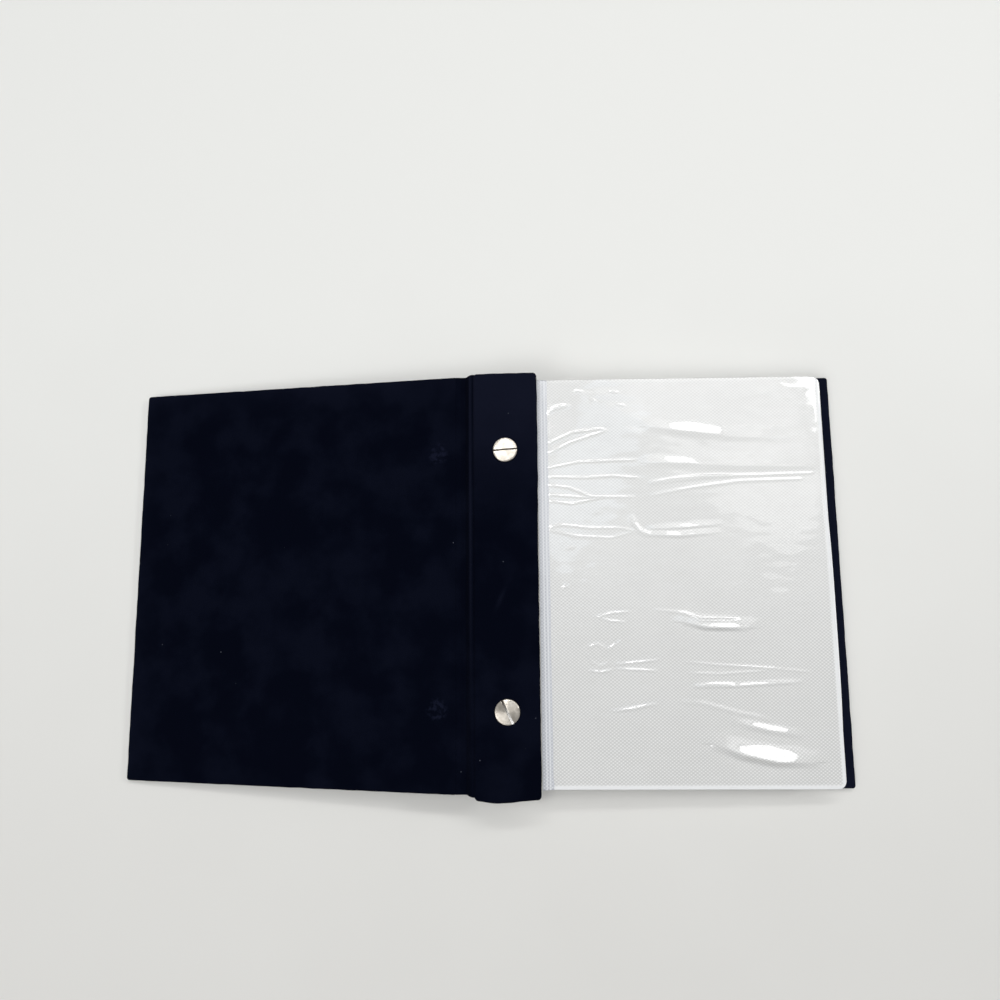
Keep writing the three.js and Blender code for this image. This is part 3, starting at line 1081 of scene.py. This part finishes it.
def add_top_leaf():
    """The pocket on view: a creased front film, a back film, and the paper between them."""
    inner, along, normal, width, half_y = pocket_axes(1)

    def locate(pixel):
        ray = photo_ray(pixel)
        far = (inner - CAMERA_PLACE).dot(normal) / ray.dot(normal)
        hit = CAMERA_PLACE + ray * far
        return (hit - inner).dot(along), hit.y

    u, v, right, bottom = page_places(half_y, width, 0.7, 0.3)
    u = u - FOLD_OVERLAP * np.clip(1 - u / 3, 0, 1)
    weld, nearest = weld_of(right, bottom, (u + FOLD_OVERLAP) * SPINE_WELD)
    outer = np.minimum(right, bottom)
    puffed = np.minimum(outer, u + FOLD_SLACK) - WELD_IN
    pillow = PILLOW * (1 - np.exp(-np.clip(puffed, 0, None) / PILLOW_REACH))
    groove = WELD_GROOVE * np.exp(-(((outer - WELD_IN) / GROOVE_WIDTH) ** 2))
    bead = WELD_BEAD * np.exp(-(((outer - WELD_IN / 2) / BEAD_WIDTH) ** 2))
    wave = 0.16 * smooth_noise(u, v, 26, 51.0) + 0.05 * smooth_noise(u, v * 2.2, 7, 53.0)
    wave *= np.clip(u / CALM_REACH, 0, 1)
    inside = np.clip((nearest - WELD_IN) / 3, 0, 1)
    height = pillow - groove + bead + inside * (wave + crease_height(u, v, locate))
    axes = (along, Y_AXIS, normal)
    top = to_frame(np.dstack([u, v, height]), inner, *axes)
    bottom_side = to_frame(np.dstack([u, v, height - FILM]), inner, *axes)
    film = closed_sheet("leaf_01_pocket_film", top, bottom_side)
    turn_outwards(film)
    paint(film, "weld", np.concatenate([weld.ravel(), weld.ravel()]))
    dress(film, top_film, "top_leaf_pocket", ("leaf_01_front_film",))

    back_top = to_frame(np.dstack([u, v, -BACK_FILM_DEPTH + 0 * u]), inner, *axes)
    back_low = to_frame(np.dstack([u, v, -BACK_FILM_DEPTH - BACK_FILM + 0 * u]), inner, *axes)
    back = closed_sheet("leaf_01_back_sheet", back_top[::6, ::8], back_low[::6, ::8])
    turn_outwards(back)
    dress(back, under_film, "top_leaf_pocket", ("leaf_01_back_film",))

    paper_u = np.linspace(PAPER_MARGIN, width - PAPER_MARGIN, 36)
    paper_v = np.linspace(-half_y + PAPER_MARGIN, half_y - PAPER_HEAD_MARGIN, 50)
    pu, pv = np.meshgrid(paper_u, paper_v, indexing="ij")
    bow = 0.05 * smooth_noise(pu, pv, 30, 61.0)
    sheet_top = to_frame(np.dstack([pu, pv, bow - PAPER_TOP]), inner, *axes)
    sheet_low = to_frame(np.dstack([pu, pv, bow - PAPER_FOOT]), inner, *axes)
    sheet = closed_sheet("leaf_01_paper", sheet_top, sheet_low)
    turn_outwards(sheet)
    dress(sheet, paper, "top_leaf_pocket", ("leaf_01_insert",))


def add_under_leaf(number):
    """A lower leaf: a welded sleeve, a little out of line with the others, that thins to its weld."""
    inner, along, normal, width, half_y = pocket_axes(number)
    shift = 0.35 * math.sin(2.1 * number) + 0.45
    shift_y = 0.15 * math.cos(3.3 * number)
    u, v, right, bottom = page_places(half_y, width, UNDER_STEP, UNDER_STEP)
    weld, nearest = weld_of(right, bottom, u + 0.4)
    thin = np.clip(nearest / UNDER_THINS, 0, 1)
    wave = 0.07 * smooth_noise(u, v, 24, 70.0 + number) * thin
    top = -0.2 + 0.2 * thin + wave
    low = -0.7 - 0.18 * thin + wave
    bowed = FORE_EDGE_BOW * np.exp(-(((v + 18) / 42) ** 4))
    stretch = u * (1 + (shift + bowed) / width)
    axes = (along, Y_AXIS, normal)
    piece = closed_sheet(
        f"leaf_{number:02d}_sleeve",
        to_frame(np.dstack([stretch, v + shift_y, top]), inner, *axes),
        to_frame(np.dstack([stretch, v + shift_y, low]), inner, *axes),
    )
    turn_outwards(piece)
    paint(piece, "weld", np.concatenate([weld.ravel(), weld.ravel()]))
    name = f"leaf_{number:02d}"
    dress(piece, under_film, "page_block", (f"{name}_front_film", f"{name}_back_film"))
    coat(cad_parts[f"{name}_insert"], paper)


def tab_profile(number):
    """The start, middle and end of a leaf's tab, from stub to pocket, as X and Z, and its half length."""
    stub = corner(f"leaf_{number:02d}_stub", (9, 1))
    inner, _, _, _, half_y = pocket_axes(number)
    start = (stub.x - 0.3, stub.z - 0.2)
    end = (inner.x + 0.9, inner.z - 0.25)
    middle = ((start[0] + end[0]) / 2, (start[1] + end[1]) / 2 + 0.12)
    return start, middle, end, half_y


def halfway(a, b):
    return (a[0] + b[0]) / 2, (a[1] + b[1]) / 2


def metres(place, right=0.0, up=0.0):
    """A place of X and Z in millimetres, moved a little, as a point in metres."""
    return (place[0] + right) * MM, 0, (place[1] + up) * MM


def add_tab(number):
    """A leaf's film tab. The top leaf turns at its stub and folds at its pocket, so it has two bends."""
    start, middle, end, half_y = tab_profile(number)
    name = f"leaf_{number:02d}"
    if number > 1:
        profile = [start, middle, end]
        piece = ribbon(f"{name}_film_tab", profile, half_y, TAB_THICKNESS, 80.0 + number, ripple=0.08)
        dress(piece, tab_film, "page_block", (f"{name}_tab",))
        return
    profile = [start, halfway(start, middle), middle]
    root = ribbon(f"{name}_root_bend", profile, half_y, BEND_THICKNESS, 81.0, ripple=BEND_RIPPLE)
    dress(root, tab_film, None, (f"{name}_tab",))
    metres(start)
    metres(start, 0.9, -0.3)
    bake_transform(root)
    profile = [middle, halfway(middle, end), end]
    fold = ribbon(f"{name}_fold_bend", profile, half_y, BEND_THICKNESS, 82.0, ripple=BEND_RIPPLE)
    dress(fold, tab_film, None)
    metres(end, -1.4, 0.3)
    metres(end, -0.5)
    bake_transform(fold)


# The room

def add_table():
    half = TABLE_HALF
    corners = [(-half, -half, 0), (half, -half, 0), (half, half, 0), (-half, half, 0)]
    data = bpy.data.meshes.new("table")
    data.from_pydata(corners, [], [(0, 1, 2, 3)])
    table = bpy.data.objects.new("table", data)
    bpy.context.scene.collection.objects.link(table)
    material, nodes, links, shader = node_material("table")
    place = place_mm(nodes, links)
    split = nodes.new("ShaderNodeSeparateXYZ")
    links.new(place, split.inputs[0])
    # A painted fall-off of the light: the table is painted paler towards high Y
    lit_further = ramp(nodes, links, split.outputs[1], *TABLE_LIGHT_FALLOFF)
    cloud = combine(nodes, links, "MULTIPLY", noise_of(nodes, links, place, size=60, detail=2), 0.2)
    share = combine(nodes, links, "ADD", lit_further, cloud)
    links.new(mix_colour(nodes, links, share, TABLE_NEAR_SHADED, TABLE_FAR_LIT), shader.inputs["Base Color"])
    set_sockets(shader, {"Roughness": 0.6, "Specular IOR Level": 0.2})
    data.materials.append(material)


def add_light(name, place, size, radiance, colour):
    size_x, size_y = size
    data = bpy.data.lights.new(name, "AREA")
    data.shape = "RECTANGLE"
    data.size = size_x
    data.size_y = size_y
    data.energy = radiance * math.pi * size_x * size_y
    data.color = colour
    light = bpy.data.objects.new(name, data)
    light.location = place
    light.rotation_euler = (-Vector(place)).to_track_quat("-Z", "Y").to_euler()
    bpy.context.scene.collection.objects.link(light)


def add_world(horizon, zenith):
    """A sky that lights more from above.

    It shows as a pale wall where a ray sees it directly, in a reflection or through something.
    """
    world = bpy.data.worlds.new("world")
    world.use_nodes = True
    nodes, links = world.node_tree.nodes, world.node_tree.links
    background = nodes["Background"]
    background.inputs["Color"].default_value = (*SKY_TINT, 1)
    path = nodes.new("ShaderNodeLightPath")
    seen = combine(nodes, links, "MAXIMUM", path.outputs["Is Camera Ray"], path.outputs["Is Glossy Ray"])
    seen = combine(nodes, links, "MAXIMUM", seen, path.outputs["Is Transmission Ray"])
    way = nodes.new("ShaderNodeTexCoord")
    split = nodes.new("ShaderNodeSeparateXYZ")
    links.new(way.outputs["Generated"], split.inputs[0])
    height = combine(nodes, links, "MAXIMUM", split.outputs[2], 0.0)
    rise = combine(nodes, links, "MULTIPLY", combine(nodes, links, "POWER", height, 2.0), zenith - horizon)
    level = nodes.new("ShaderNodeMapRange")
    links.new(combine(nodes, links, "ADD", rise, horizon), level.inputs["To Min"])
    level.inputs["To Max"].default_value = WALL
    links.new(seen, level.inputs["Value"])
    links.new(level.outputs["Result"], background.inputs["Strength"])
    bpy.context.scene.world = world


add_camera()
bpy.context.scene.view_settings.view_transform = "Standard"
add_world(HORIZON, ZENITH)
for lamp, (lamp_place, lamp_size, radiance, colour) in LAMPS.items():
    add_light(lamp, lamp_place, lamp_size, radiance, colour)
add_table()

add_back_cover()
cover = add_front_cover()
add_strips()
add_front_hinge(*cover)
add_back_hinge()
for screw, slot in SLOTS.items():
    add_screw(screw, *slot)
add_top_leaf()
for leaf in range(2, LEAF_COUNT + 1):
    add_under_leaf(leaf)
for leaf in range(1, LEAF_COUNT + 1):
    add_tab(leaf)

# The solids that scene.py leaves as they are get a material by their names' endings
for node, cad_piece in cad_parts.items():
    for ending, finish in (("_stub", card), ("_board", greyboard), ("_post", nickel)):
        if node.endswith(ending):
            coat(cad_piece, finish)
